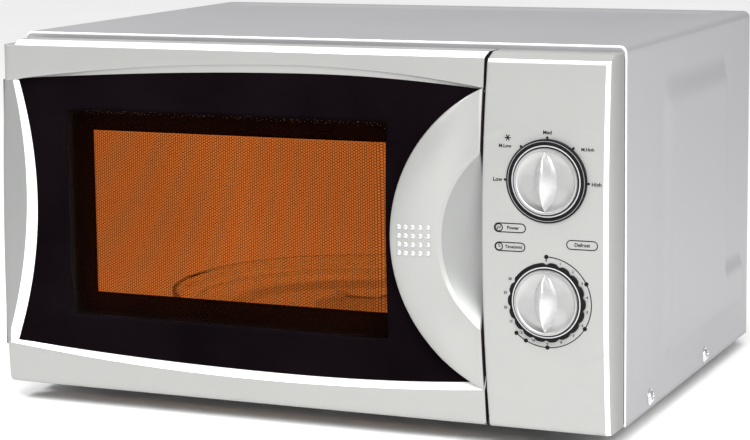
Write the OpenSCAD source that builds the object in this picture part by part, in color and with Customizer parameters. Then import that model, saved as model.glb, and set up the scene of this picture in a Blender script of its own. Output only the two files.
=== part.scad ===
// Countertop microwave oven with a side-hung door, two turn knobs and a glass turntable.
// Units are millimetres. +Z is up, +X is to the right seen from the front, the front faces -Y.
// The origin is the middle of the footprint on the surface the feet stand on.

/* [Cabinet] */
// Width of the steel cover
body_w = 440; // [400:1:500]
// Height of the cabinet over the surface it stands on
body_top = 258; // [240:1:300]
// Height of the rubber feet
foot_h = 12; // [6:1:20]
// Where the steel cover starts at the front
cab_y0 = -131.5; // [-150:0.5:-120]
// Where the steel cover ends at the back
cab_y1 = 181; // [160:0.5:200]
// Thickness of the steel sheet
sheet = 1; // [0.6:0.1:1.5]
// How deep the panels on the sides and the top are pressed in
press = 1.5; // [0.5:0.5:3]
// Radius of the long top edges
edge_r = 5; // [2:0.5:12]

/* [Cavity] */
// Middle of the cavity from left to right
cav_x = -41; // [-60:1:-20]
// Inside width of the cavity
cav_w = 300; // [280:1:320]
// Inside height of the cavity
cav_h = 200; // [180:1:220]
// Height of the cavity floor
cav_z = 36; // [32:1:44]
// Back of the cavity
cav_y1 = 155; // [130:1:165]

/* [Front] */
// Front of the door and the panel at their top and bottom edges
face_y = -164.5; // [-180:0.5:-150]
// How far the front bulges at half height
bulge = 6.5; // [0:0.5:12]
// Back of the door moulding
door_back = -140; // [-150:0.5:-136]
// Right edge of the door
door_x1 = 137; // [120:0.1:150]
// Left edge of the control panel
panel_x0 = 138.6; // [122:0.1:152]
// Lower edge of the front
front_z0 = 13.5; // [12:0.5:20]
// Upper edge of the front
front_z1 = 254.5; // [240:0.5:262]
// Middle of the circles that outline the handle
orn_x = 181; // [160:1:190]
// Height of the middle of those circles
orn_z = 135; // [120:1:150]
// Outside radius of the crescent handle
handle_r1 = 107; // [90:1:120]
// Radius of the finger recess
handle_r0 = 73; // [60:1:85]
// How far the handle stands out from the door
handle_out = 5; // [2:0.5:10]

/* [Controls] */
// Middle of both knobs
knob_x = 180; // [160:1:190]
// Height midway between the knobs
knob_z = 137; // [120:1:150]
// Half the distance between the two knobs
knob_dz = 38.5; // [30:1:50]
// Radius of the knob skirt
knob_r = 21; // [15:0.5:26]
// Front of the knob grips
grip_y = -182.5; // [-190:0.5:-175]
// Radius of the knob shafts
shaft_r = 3; // [2:0.5:4]

/* [Turntable] */
// Radius of the glass plate
plate_r = 127.5; // [110:0.5:140]
// Height of the underside of the plate over the cavity floor
plate_up = 14; // [10:1:20]
// Radius of the circle the rollers run on
track_r = 89; // [70:1:110]

/* [Door] */
// Position of the door hinge axis from left to right
hinge_x = -208; // [-214:0.5:-200]
// Position of the door hinge axis from front to back
hinge_y = -146; // [-156:0.5:-140]
// Radius of the hinge pins
pin_r = 3; // [2:0.5:4]

/* [Hidden] */
$fn = 64;
hw = body_w / 2;
c0 = cav_x - cav_w / 2;
c1 = cav_x + cav_w / 2;
cz1 = cav_z + cav_h;
plate_t = 1;
fp_y = cab_y0 - plate_t;            // front of the steel front plate
tt_y = (cab_y0 + cav_y1) / 2;       // middle of the turntable
mid_z = (front_z0 + front_z1) / 2;
half_z = (front_z1 - front_z0) / 2;
face_r = (half_z * half_z + bulge * bulge) / (2 * bulge);
mesh_x0 = -151;
mesh_x1 = 67;
mesh_z0 = 81;
mesh_z1 = 193;
boss_y = -171.5;
fan_x = 165;
fan_z = 172;
cord_x = 200;
cord_z = 27;
rear_screw_at = [[-205, 245], [205, 245], [-205, 22], [120, 22]];

// ---------------------------------------------------------------- helpers

// A block given by its two opposite corners.
module blk(a, b) translate(a) cube(b - a);

// A bar along Y: the drawing lies in X (right) and Z (up).
module along_y(y0, y1) translate([0, y1, 0]) rotate([90, 0, 0]) linear_extrude(y1 - y0) children();

// A bar along X: the drawing lies in Y (right) and Z (up).
module along_x(x0, x1)
    translate([x0, 0, 0]) rotate([90, 0, 90]) linear_extrude(x1 - x0) children();

// A round bar along Y or X.
module rod_y(x, z, y0, y1, r) translate([x, y1, z]) rotate([90, 0, 0]) cylinder(r = r, h = y1 - y0);
module rod_x(y, z, x0, x1, r) translate([x0, y, z]) rotate([0, 90, 0]) cylinder(r = r, h = x1 - x0);

// A rectangle with round corners given by its two opposite corners.
module rrect(a, b, r) {
    translate([a[0] + r, a[1]]) square([b[0] - a[0] - 2 * r, b[1] - a[1]]);
    translate([a[0], a[1] + r]) square([b[0] - a[0], b[1] - a[1] - 2 * r]);
    for (x = [a[0] + r, b[0] - r], y = [a[1] + r, b[1] - r]) translate([x, y]) circle(r = r);
}

// A rectangle with only its upper corners round.
module toprect(a, b, r) {
    square_to(a, [b[0], b[1] - r]);
    square_to([a[0] + r, a[1]], [b[0] - r, b[1]]);
    for (x = [a[0] + r, b[0] - r]) translate([x, b[1] - r]) circle(r = r);
}
module square_to(a, b) translate(a) square(b - a);

// Everything behind the bulging front, moved back by d.
module behind_face(d) translate([-hw, face_y - bulge + face_r, mid_z]) rotate([0, 90, 0])
    cylinder(r = face_r - d, h = 2 * hw, $fn = 256);

// Outline of the window, drawn smaller by d on every side.
module window_shape(d) difference() {
    intersection() {
        square_to([-216, 20], [door_x1, 250]);
        translate([0, 235.5 - 2400]) circle(r = 2400 - d, $fn = 256);
        translate([-12, 37.5 + 2200]) circle(r = 2200 - d, $fn = 256);
    }
    translate([-476.5, 136]) circle(r = 283 + d, $fn = 256);
    translate([orn_x, orn_z]) circle(r = handle_r1 + d, $fn = 256);
}

// A field of slots: n columns and m rows.
module slots(n, m, px, py, w, h) for (i = [0:n - 1], j = [0:m - 1])
    rrect([i * px, j * py], [i * px + w, j * py + h], min(w, h) / 2 - 0.01);

// ---------------------------------------------------------------- cabinet

// Pressed field of the side walls, drawn in Y and Z.
module side_field(d) {
    rrect([-52 - d, 38 - d], [104 + d, 226 + d], 12);
    rrect([-52 - d, 38 - d], [156 + d, 68 + d], 12);
}

module top_field(d) rrect([-196 - d, -112 - d], [196 + d, 160 + d], 18);

module outer_cover() color("silver") difference() {
    union() {
        along_y(cab_y0, cab_y1) difference() {
            toprect([-hw, foot_h], [hw, body_top], edge_r);
            toprect([-hw + sheet, foot_h - 1], [hw - sheet, body_top - sheet], edge_r - sheet);
        }
        along_y(cab_y0, cab_y0 + sheet) difference() {
            toprect([-hw + 0.5, foot_h], [hw - 0.5, body_top - 0.5], edge_r - 0.5);
            square_to([-hw + 6, foot_h - 1], [hw - 6, body_top - 6]);
        }
        for (s = [-1, 1]) along_x(s > 0 ? hw - sheet / 2 : -hw - press,
            s > 0 ? hw + press : -hw + sheet / 2) side_field(0);
        translate([0, 0, body_top - press - sheet]) linear_extrude(press + sheet / 2)
            top_field(sheet);
    }
    for (s = [-1, 1]) along_x(s > 0 ? hw - sheet - 1 : -hw - press + sheet,
        s > 0 ? hw + press - sheet : -hw + sheet + 1) side_field(-sheet);
    translate([0, 0, body_top - press]) linear_extrude(press + 1) top_field(0);
    for (y = [-78, 58], s = [-1, 1]) rod_x(y, 20, s * hw - 2, s * hw + 2, 2.2);
}

module rear_panel() color("silver") difference() {
    union() {
        along_y(cab_y1 - sheet, cab_y1) rrect([-hw + 1.2, foot_h + 0.2], [hw - 1.2, body_top - 1.2], 4.5);
        for (s = [-1, 1]) blk([s * (hw - 1.7) - 0.5, cab_y1 - 10, 40], [s * (hw - 1.7) + 0.5, cab_y1 - 0.5, 240]);
    }
    along_y(cab_y1 - 5, cab_y1 + 1) {
        translate([120, 130]) slots(10, 4, 9, 22, 4, 16);
        translate([-190, 200]) slots(14, 1, 9, 22, 4, 24);
    }
    rod_y(cord_x, cord_z, cab_y1 - 5, cab_y1 + 1, 8);
    for (p = rear_screw_at) rod_y(p[0], p[1], cab_y1 - 5, cab_y1 + 1, 2.2);
}

module base_plate() color("silver") difference() {
    union() {
        blk([-hw + 1.2, cab_y0 + 1.5, foot_h], [hw - 1.2, cab_y1 - 1.5, foot_h + sheet]);
        for (s = [-1, 1]) blk([s * (hw - 1.7) - 0.5, cab_y0 + 1.5, foot_h + 0.5],
            [s * (hw - 1.7) + 0.5, cab_y1 - 12, 30]);
    }
    translate([126, -60, 0]) linear_extrude(20) slots(9, 2, 9, 34, 4, 28);
    translate([-190, 60, 0]) linear_extrude(20) slots(8, 1, 9, 34, 4, 60);
    for (y = [-78, 58], s = [-1, 1]) rod_x(y, 20, s * hw - 4, s * hw + 4, 1.7);
}

module feet() color("dimgray") for (x = [-170, 170], y = [-85, 130]) translate([x, y, 0])
    difference() {
        cylinder(r1 = 12, r2 = 15, h = foot_h);
        translate([0, 0, -1]) cylinder(r = 5, h = 5);
    }

module screw(h = 7) {
    translate([0, 0, 0.01]) cylinder(r = 5, h = 0.8);
    translate([0, 0, 0.8]) cylinder(r1 = 4.6, r2 = 3.2, h = 0.7);
    translate([0, 0, -h]) cylinder(r = 1.6, h = h + 0.4);
}

module cover_screws() color("gainsboro") {
    for (y = [-78, 58]) {
        translate([hw, y, 20]) rotate([0, 90, 0]) screw(5);
        translate([-hw, y, 20]) rotate([0, -90, 0]) screw(5);
    }
    for (p = rear_screw_at) translate([p[0], cab_y1, p[1]]) rotate([-90, 0, 0]) screw(6);
}

module cord_bushing() color("black") difference() {
    union() {
        rod_y(cord_x, cord_z, cab_y1 - 7, cab_y1 - 0.5, 7.8);
        rod_y(cord_x, cord_z, cab_y1, cab_y1 + 1.4, 10.5);
        rod_y(cord_x, cord_z, cab_y1 - 1, cab_y1 + 1, 7.8);
    }
    rod_y(cord_x, cord_z, cab_y1 - 9, cab_y1 + 3, 4);
}

// ---------------------------------------------------------------- cavity

module front_plate() color("lightgray") difference() {
    along_y(fp_y, cab_y0) toprect([-hw + 1.5, foot_h + 1.2], [hw - 1.5, body_top - 1.5], 3.5);
    along_y(fp_y - 1, cab_y0 + 1) {
        rrect([c0, cav_z], [c1, cz1], 4);
        rrect([145, 20], [214, 250], 4);
        rrect([114, 154], [132, 180], 2);
        rrect([114, 92], [132, 126], 2);
    }
}

module cavity() color("whitesmoke") difference() {
    blk([c0 - 1, cab_y0, cav_z - 1], [c1 + 1, cav_y1 + 1, cz1 + 1]);
    blk([c0, cab_y0 - 1, cav_z], [c1, cav_y1, cz1]);
    translate([cav_x, tt_y, cav_z - 3]) cylinder(r = 8, h = 6);
    blk([c1 - 1, 5, 160], [c1 + 2, 85, 205]);
    along_x(c1 - 1, c1 + 2) {
        translate([-62, 212]) for (i = [-2:2], j = [-2:2]) translate([i * 6, j * 6]) circle(r = 2);
        translate([-44, 160]) for (i = [0:5], j = [0:4]) translate([i * 7, j * 7]) circle(r = 2.2);
    }
    along_x(c0 - 2, c0 + 1) translate([-90, 190])
        for (i = [0:7], j = [0:3]) translate([i * 7, j * 7]) circle(r = 2.2);
}

module waveguide() color("silver") difference() {
    blk([c1 + 1, -15, 155], [c1 + 25, 95, 210]);
    blk([c1 + 0.5, -14, 156], [c1 + 24, 94, 209]);
    rod_x(55, 182, c1 + 20, c1 + 30, 11);
}

module waveguide_cover() color("tan") difference() {
    blk([c1 - 0.5, -3, 154], [c1, 93, 211]);
    for (y = [0, 90]) rod_x(y, 182, c1 - 2, c1 + 1, 1.5);
}

mag = [c1 + 25, 15, 147];
module magnetron_yoke() color("silver") difference() {
    blk(mag, mag + [60, 80, 70]);
    blk(mag + [1.5, -1, 1.5], mag + [58.5, 81, 68.5]);
    rod_x(55, 182, mag[0] - 2, mag[0] + 70, 20.5);
}

module magnetron_anode() color("peru") {
    rod_x(55, 182, mag[0] + 6, mag[0] + 54, 17);
    rod_x(55, 182, mag[0] - 6, mag[0] + 6.5, 10);
    rod_x(55, 182, mag[0] - 18, mag[0] - 5.5, 7.5);
}

module magnetron_fins() color("gainsboro") for (i = [0:4]) difference() {
    blk([mag[0] + 12 + i * 8, 18, 151], [mag[0] + 12.8 + i * 8, 92, 213]);
    rod_x(55, 182, mag[0], mag[0] + 60, 17.05);
}

module magnetron_filter_box() color("silver") difference() {
    blk([mag[0] + 60, 30, 156], [mag[0] + 80, 80, 208]);
    blk([mag[0] + 61, 31, 157], [mag[0] + 79, 79, 207]);
}

module transformer_core() color("slategray") difference() {
    union() {
        blk([124, 14, 24], [208, 66, 92]);
        blk([118, 10, foot_h + sheet], [214, 70, foot_h + sheet + 2]);
        for (x = [124, 200]) blk([x, 14, 14.5], [x + 8, 66, 24.5]);
    }
    for (x = [138, 176]) blk([x, 10, 38], [x + 18, 70, 78]);
}

module coil(y0, y1) difference() {
    blk([138.4, y0, 38.4], [193.6, y1, 77.6]);
    blk([155.6, y0 - 1, 36], [176.4, y1 + 1, 80]);
}

module transformer_primary() color("chocolate") difference() {
    union() {
        coil(15, 38);
        blk([138.4, 6, 38.4], [193.6, 13.8, 77.6]);
        for (x = [138.4, 176.4]) blk([x, 8, 40], [x + 17.2, 20, 76]);
    }
    blk([156, 13.8, 30], [176, 16, 90]);
}

module transformer_secondary() color("darkgoldenrod") {
    coil(42, 65);
    blk([138.4, 66.2, 38.4], [193.6, 74, 77.6]);
    for (x = [138.4, 176.4]) blk([x, 60, 40], [x + 17.2, 72, 76]);
}

module capacitor() color("gainsboro") {
    along_x(120, 205) rrect([120, 40], [170, 72], 15.9);
    for (y = [134, 156]) rod_x(y, 56, 204.5, 212, 3);
}

module capacitor_clamp() color("silver") difference() {
    union() {
        along_x(155, 167) rrect([118.8, 38.8], [171.2, 73.2], 16.8);
        blk([155, 120, foot_h + sheet], [167, 170, foot_h + sheet + 1.5]);
        for (y = [122, 166.5]) blk([155, y, foot_h + sheet], [167, y + 1.5, 46]);
    }
    along_x(150, 170) rrect([119.9, 39.9], [170.1, 72.1], 16);
}

module hv_diode() color("black") {
    rod_x(145, 76, 124, 146, 3.6);
    rod_x(145, 76, 118, 152, 0.8);
}

module fan_shroud() color("dimgray") difference() {
    union() {
        blk([112.5, 148, 108], [217, 151, 236]);
        rod_y(fan_x, fan_z, 126, 149, 53);
    }
    rod_y(fan_x, fan_z, 120, 160, 50.5);
}

module fan_motor() color("slategray") {
    difference() {
        blk([fan_x - 24, 158, fan_z - 24], [fan_x + 24, 172, fan_z + 24]);
        rod_y(fan_x, fan_z, 150, 176, 11);
    }
    for (x = [fan_x - 52, fan_x + 46]) blk([x, 151, fan_z - 5], [x + 6, 163, fan_z + 5]);
    for (x = [fan_x - 52, fan_x + 23]) blk([x, 160, fan_z - 5], [x + 29, 163, fan_z + 5]);
    blk([fan_x - 16, 157, fan_z - 46], [fan_x + 16, 174, fan_z - 24]);
}

module fan_blade() color("black") translate([fan_x, 0, fan_z]) rotate([90, 0, 0]) {
    translate([0, 0, -146]) cylinder(r = 12, h = 16);
    translate([0, 0, -172]) cylinder(r = 2.5, h = 28);
    translate([0, 0, -171]) cylinder(r = 10, h = 12);
    for (i = [0:6]) rotate([0, 0, i * 360 / 7]) translate([10, 0, -138]) rotate([35, 0, 0])
        translate([0, -9, -0.8]) cube([37, 18, 1.6]);
}

module air_duct() color("khaki") difference() {
    blk([c1 + 1.2, -50, 150], [200, 8, 214]);
    blk([c1, -48, 152], [198, 9, 212]);
    blk([c1 + 0.2, -16, 154], [c1 + 26, 9, 213]);
}

module lamp_bulb() color("white") {
    translate([124, -62, 212]) rotate([0, 90, 0]) rotate_extrude() intersection() {
        union() {
            circle(r = 9);
            square_to([0, 0], [6, 18]);
        }
        square_to([0, -10], [10, 20]);
    }
}

module lamp_socket() color("ivory") difference() {
    union() {
        blk([134, -74, 200], [148, -51, 224]);
        blk([c1 + 1, -74, 223], [148, -51, 225]);
        blk([c1 + 1, -74, 223], [c1 + 2.5, -51, 234]);
    }
    rod_x(-62, 212, 130, 142.2, 6.2);
}

// ---------------------------------------------------------------- turntable

module turntable_motor() color("gainsboro") difference() {
    union() {
        translate([cav_x, tt_y, 17]) cylinder(r = 24.5, h = 17);
        for (x = [-33, 22]) blk([cav_x + x, tt_y - 5, 33], [cav_x + x + 11, tt_y + 5, 34.5]);
    }
    translate([cav_x, tt_y, 24]) cylinder(r = 4.2, h = 20);
}

module turntable_coupler() color("ivory") translate([cav_x, tt_y, 0]) {
    translate([0, 0, 26]) cylinder(r = 3.8, h = 14);
    translate([0, 0, 39]) cylinder(r = 11, h = cav_z + plate_up - 40);
    for (i = [0:2]) rotate([0, 0, i * 120]) translate([0, -4, 40])
        cube([24, 8, cav_z + plate_up - 40]);
}

module glass_plate() color("lightcyan") translate([cav_x, tt_y, cav_z + plate_up]) rotate_extrude()
    polygon([[0, 0], [plate_r - 16, 0], [plate_r - 4, 4], [plate_r, 9], [plate_r, 12],
        [plate_r - 3, 12], [plate_r - 6, 8], [plate_r - 17, 4.5], [0, 4.5]]);

module roller_ring() color("ivory") translate([cav_x, tt_y, cav_z + plate_up / 2]) {
    difference() {
        translate([0, 0, -3]) cylinder(r = track_r - 4, h = 6);
        translate([0, 0, -4]) cylinder(r = track_r - 8, h = 8);
    }
    for (i = [0:2]) rotate([0, 0, 90 + i * 120]) rotate([0, 90, 0]) {
        translate([0, 0, track_r - 5]) cylinder(r = 2, h = 11);
        translate([0, 0, track_r + 4]) cylinder(r = 3.2, h = 2);
    }
}

module roller(i) color("white") translate([cav_x, tt_y, cav_z + plate_up / 2])
    rotate([0, 0, 90 + i * 120]) rotate([0, 90, 0]) difference() {
        translate([0, 0, track_r - 3]) cylinder(r = plate_up / 2 - 0.3, h = 6);
        translate([0, 0, track_r - 4]) cylinder(r = 2.08, h = 8);
    }
module roller_1() roller(0);
module roller_2() roller(1);
module roller_3() roller(2);

// ---------------------------------------------------------------- small electrics

module filter_board() color("darkgreen") {
    blk([c1 + 6, -40, 240], [c1 + 52, 30, 241.6]);
    translate([c1 + 20, -22, 241.5]) cylinder(r = 9, h = 8);
    blk([c1 + 34, -34, 241.5], [c1 + 46, -12, 251]);
    blk([c1 + 12, 2, 241.5], [c1 + 44, 10, 246]);
    for (x = [c1 + 9, c1 + 48], y = [-36, 4]) translate([x, y, 214]) cylinder(r = 2, h = 26.5);
}

module thermal_cutout() color("black") translate([cav_x, tt_y, cz1 + 1]) {
    cylinder(r = 8, h = 6);
    translate([-12, -5, 0]) cube([24, 10, 1]);
}

// ---------------------------------------------------------------- control panel

module control_panel() color("silver") difference() {
    union() {
        difference() {
            intersection() {
                blk([panel_x0, face_y - bulge - 1, front_z0], [hw - 0.5, fp_y - 0.2, front_z1]);
                behind_face(0);
            }
            intersection() {
                blk([panel_x0 + 2.5, face_y - bulge - 1, front_z0 + 2.5],
                    [hw - 3, fp_y + 1, front_z1 - 2.5]);
                behind_face(3);
            }
        }
        for (s = [-1, 1]) rod_y(knob_x, knob_z + s * knob_dz, boss_y, boss_y + 4, 27.5);
        for (x = [155.5, 202.5], z = [72, 196]) rod_y(x, z, -168, -150, 3.2);
        along_y(-171.6, -166) for (p = [[146, 130, 166, 136], [146, 142, 166, 148], [193, 133, 213.5, 139]])
            difference() {
                rrect([p[0], p[1]], [p[2], p[3]], 2.9);
                rrect([p[0] + 0.7, p[1] + 0.7], [p[2] - 0.7, p[3] - 0.7], 2.2);
            }
    }
    for (s = [-1, 1]) rod_y(knob_x, knob_z + s * knob_dz, -180, -150, 4.5);
}

module dial(s) along_y(boss_y - 0.6, boss_y) translate([knob_x, knob_z + s * knob_dz]) difference() {
    circle(r = 26.8);
    circle(r = knob_r + 0.6);
}
module power_dial() color("black") dial(1);
module timer_dial() color("black") dial(-1);

// Knob with a flat skirt and a lens-shaped grip.
module knob(s) translate([knob_x, 0, knob_z + s * knob_dz]) difference() {
    union() {
        rod_y(0, 0, boss_y - 2.2, boss_y - 0.4, knob_r);
        rod_y(0, 0, boss_y - 3.6, boss_y - 2.1, knob_r - 2.5);
        along_y(grip_y, boss_y - 3.5) intersection() {
            translate([-20, 0]) circle(r = 27.4);
            translate([20, 0]) circle(r = 27.4);
        }
    }
    rod_y(0, 0, grip_y + 3.5, boss_y + 1, shaft_r);
}
module power_knob() color("silver") knob(1);
module timer_knob() color("silver") knob(-1);

module knob_shaft(s) rod_y(knob_x, knob_z + s * knob_dz, grip_y + 3.6, -146, shaft_r - 0.01);
module power_shaft() color("white") knob_shaft(1);
module timer_shaft() color("white") knob_shaft(-1);

module timer_housing() color("gray") difference() {
    union() {
        blk([150, -150, 66], [208, -148.5, 202]);
        blk([153, -148.6, 70], [205, -118, 198]);
    }
    for (s = [-1, 1]) rod_y(knob_x, knob_z + s * knob_dz, -152, -145, shaft_r + 0.08);
}

module timer_motor() color("gainsboro") {
    rod_y(knob_x, knob_z - knob_dz, -118, -104, 24);
    rod_y(knob_x, knob_z + knob_dz, -118, -110, 17);
}

// ---------------------------------------------------------------- interlock

module latch_bracket() color("white") difference() {
    blk([c1 + 2.5, cab_y0 + 0.2, 84], [139, -84, 186]);
    blk([114.2, cab_y0 - 1, 87], [133, -85.5, 183]);
    blk([120, -100, 120], [150, -80, 150]);
}

module microswitch(z) color("dimgray") difference() {
    blk([114.4, -113, z - 8], [130, -87, z + 8]);
    rod_y(123, z, -114, -104, 2.05);
}
module switch_primary() microswitch(168);
module switch_secondary() microswitch(100);
module switch_monitor() microswitch(117);

module plunger(z) color("red") rod_y(123, z, -116.2, -107, 1.95);
module plunger_primary() plunger(168);
module plunger_secondary() plunger(100);
module plunger_monitor() plunger(117);

// ---------------------------------------------------------------- door

// Plate and pin of one hinge. s is 1 at the top and -1 at the bottom.
module hinge_part(s) translate([0, 0, s > 0 ? 247 : 21]) mirror([0, 0, s > 0 ? 0 : 1]) {
    blk([hinge_x - 7, hinge_y - 8, 0], [hinge_x + 7, fp_y, 2.5]);
    blk([hinge_x - 7, fp_y - 1.2, -8], [hinge_x + 7, fp_y, 1]);
    translate([hinge_x, hinge_y, -9]) cylinder(r = pin_r, h = 9.5);
}
module hinge_brackets() color("silver") {
    hinge_part(1);
    hinge_part(-1);
}

module door_frame() color("silver") difference() {
    intersection() {
        blk([-hw + 0.5, face_y - bulge - 1, front_z0], [door_x1, door_back, front_z1]);
        behind_face(0);
    }
    along_y(-190, -100) window_shape(0);
    intersection() {
        blk([-hw + 3.5, face_y - bulge, front_z0 + 3], [100, door_back + 1, front_z1 - 3]);
        behind_face(4);
    }
    difference() {
        blk([99, -151, front_z0 + 5], [door_x1 - 3, door_back + 1, front_z1 - 5]);
        blk([112, -152, 194.2], [134, door_back - 1, 196]);
    }
    intersection() {
        translate([orn_x, -188.9, orn_z]) rotate([90, 0, 0])
            rotate_extrude($fn = 128) translate([handle_r0 - 11, 0]) circle(r = 26);
        rod_y(orn_x, orn_z, -200, -100, handle_r0);
    }
    for (z = [245, 16.5]) blk([-hw - 1, hinge_y - 12, z], [-hw + 5, door_back + 1, z + 6.5]);
    for (z = [238, 17]) blk([-hw - 1, door_back - 2.8, z], [-hw + 6, door_back + 1, z + 13]);
}

module door_handle() color("silver") difference() {
    intersection() {
        along_y(face_y - bulge - handle_out, -155) intersection() {
            difference() {
                translate([orn_x, orn_z]) circle(r = handle_r1 - 0.2, $fn = 256);
                translate([orn_x, orn_z]) circle(r = handle_r0 + 0.5, $fn = 256);
            }
            square_to([60, front_z0 + 25], [door_x1, front_z1 - 18]);
        }
        translate([0, -handle_out, 0]) behind_face(0);
    }
    behind_face(-0.02);
}

module door_window() color("black") difference() {
    intersection() {
        along_y(-176, -150) window_shape(0.2);
        behind_face(0.8);
    }
    behind_face(3.8);
}

module door_screen() color("dimgray") difference() {
    union() {
        blk([-200, -151, 24], [98, -150, 246]);
        blk([-200, -150.5, 24], [-199, -137.5, 246]);
        blk([109, -150, 24], [110, -137.5, 246]);
        blk([97, -150, 24], [110, -149, 246]);
        for (z = [24, 245]) blk([-200, -150, z], [110, -137.5, z + 1]);
        for (z = [24, 242.5]) blk([hinge_x - 7, hinge_y - 7, z], [-199.5, hinge_y + 8, z + 2.5]);
    }
    along_y(-153, -149.5) for (i = [0:14], j = [0:4])
        translate([mesh_x0 + 7 + i * 14.2, mesh_z0 + 9 + j * 21]) {
            circle(r = 5.6, $fn = 6);
            translate([7.1, 10.5]) circle(r = 5.6, $fn = 6);
        }
    for (z = [20, 240]) translate([hinge_x, hinge_y, z]) cylinder(r = pin_r + 0.08, h = 8);
}

module door_choke_cover() color("gray") difference() {
    blk([-202, -137.3, 22.5], [112, -135.3, 246]);
    blk([-165, -140, 68], [80, -130, 206]);
    blk([hinge_x - 8, -140, 239], [-200, -130, 250]);
    blk([hinge_x - 8, -140, 20], [-200, -130, 28]);
}

module door_latch() color("white") {
    blk([118, -148, 86], [128, -143, 180]);
    for (z = [160, 96]) {
        blk([121, -143.5, z], [125, -117, z + 6]);
        blk([121, -122, z + 5.5], [125, -117, z + (z > 120 ? 14 : 24)]);
    }
}

// The turns of the spring, held together by two thin bars.
module latch_spring() color("silver") translate([123, -145.5, 180.6]) {
    for (i = [0:5]) translate([0, 0, 0.5 + i * 2.4])
        rotate_extrude($fn = 24) translate([3, 0]) circle(r = 0.5, $fn = 16);
    for (x = [-3.4, 2.8]) translate([x, -0.3, 0.5]) cube([0.6, 0.6, 12]);
}

// ---------------------------------------------------------------- build

outer_cover();
rear_panel();
base_plate();
feet();
cover_screws();
cord_bushing();
front_plate();
cavity();
waveguide();
waveguide_cover();
magnetron_yoke();
magnetron_anode();
magnetron_fins();
magnetron_filter_box();
transformer_core();
transformer_primary();
transformer_secondary();
capacitor();
capacitor_clamp();
hv_diode();
fan_shroud();
fan_motor();
fan_blade();
air_duct();
lamp_bulb();
lamp_socket();
turntable_motor();
turntable_coupler();
glass_plate();
roller_ring();
roller_1();
roller_2();
roller_3();
filter_board();
thermal_cutout();
control_panel();
power_dial();
timer_dial();
power_knob();
timer_knob();
power_shaft();
timer_shaft();
timer_housing();
timer_motor();
latch_bracket();
switch_primary();
switch_secondary();
switch_monitor();
plunger_primary();
plunger_secondary();
plunger_monitor();
hinge_brackets();
door_frame();
door_handle();
door_window();
door_screen();
door_choke_cover();
door_latch();
latch_spring();
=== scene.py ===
import math

import bmesh
import bpy
from mathutils import Matrix, Vector


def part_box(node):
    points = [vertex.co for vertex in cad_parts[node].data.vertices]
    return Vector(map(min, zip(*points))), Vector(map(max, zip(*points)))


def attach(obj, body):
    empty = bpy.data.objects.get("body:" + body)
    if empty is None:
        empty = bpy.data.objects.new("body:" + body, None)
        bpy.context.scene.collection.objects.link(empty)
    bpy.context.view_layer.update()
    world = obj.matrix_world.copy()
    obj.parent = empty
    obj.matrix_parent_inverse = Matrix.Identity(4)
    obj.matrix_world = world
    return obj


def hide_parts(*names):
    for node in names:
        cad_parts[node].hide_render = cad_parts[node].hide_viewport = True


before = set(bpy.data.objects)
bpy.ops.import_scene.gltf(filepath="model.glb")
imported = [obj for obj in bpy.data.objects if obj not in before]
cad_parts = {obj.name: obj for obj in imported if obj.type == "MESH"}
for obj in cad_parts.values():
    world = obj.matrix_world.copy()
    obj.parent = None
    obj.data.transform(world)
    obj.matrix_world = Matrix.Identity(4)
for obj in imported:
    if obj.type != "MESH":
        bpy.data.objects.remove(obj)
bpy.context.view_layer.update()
scene = bpy.context.scene
MM = 0.001

# ------------------------------------------------------------------ camera

cam_data = bpy.data.cameras.new("camera")
cam = bpy.data.objects.new("camera", cam_data)
scene.collection.objects.link(cam)
SENSOR, LENS = 36, 109.8
AIM_SHIFT = -0.07
AZ, EL, ROLL = math.radians(23.43), math.radians(7.99), math.radians(-0.68)
STAND = (0.6434, -1.5088, 0.3837)
FAR = 50
cam_data.sensor_width = SENSOR
cam_data.lens = LENS
cam_data.shift_y = AIM_SHIFT
cam_data.clip_end = FAR
away = Vector((math.sin(AZ) * math.cos(EL), -math.cos(AZ) * math.cos(EL), math.sin(EL)))
side = Vector((0, 0, 1)).cross(away).normalized()
rise = away.cross(side)
cam_x = side * math.cos(ROLL) + rise * math.sin(ROLL)
cam_y = rise * math.cos(ROLL) - side * math.sin(ROLL)
cam.matrix_world = Matrix((cam_x, cam_y, away)).transposed().to_4x4()
cam.location = STAND
scene.camera = cam

# ------------------------------------------------------------------ materials


BUMP_DEPTH = 0.0002


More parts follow.
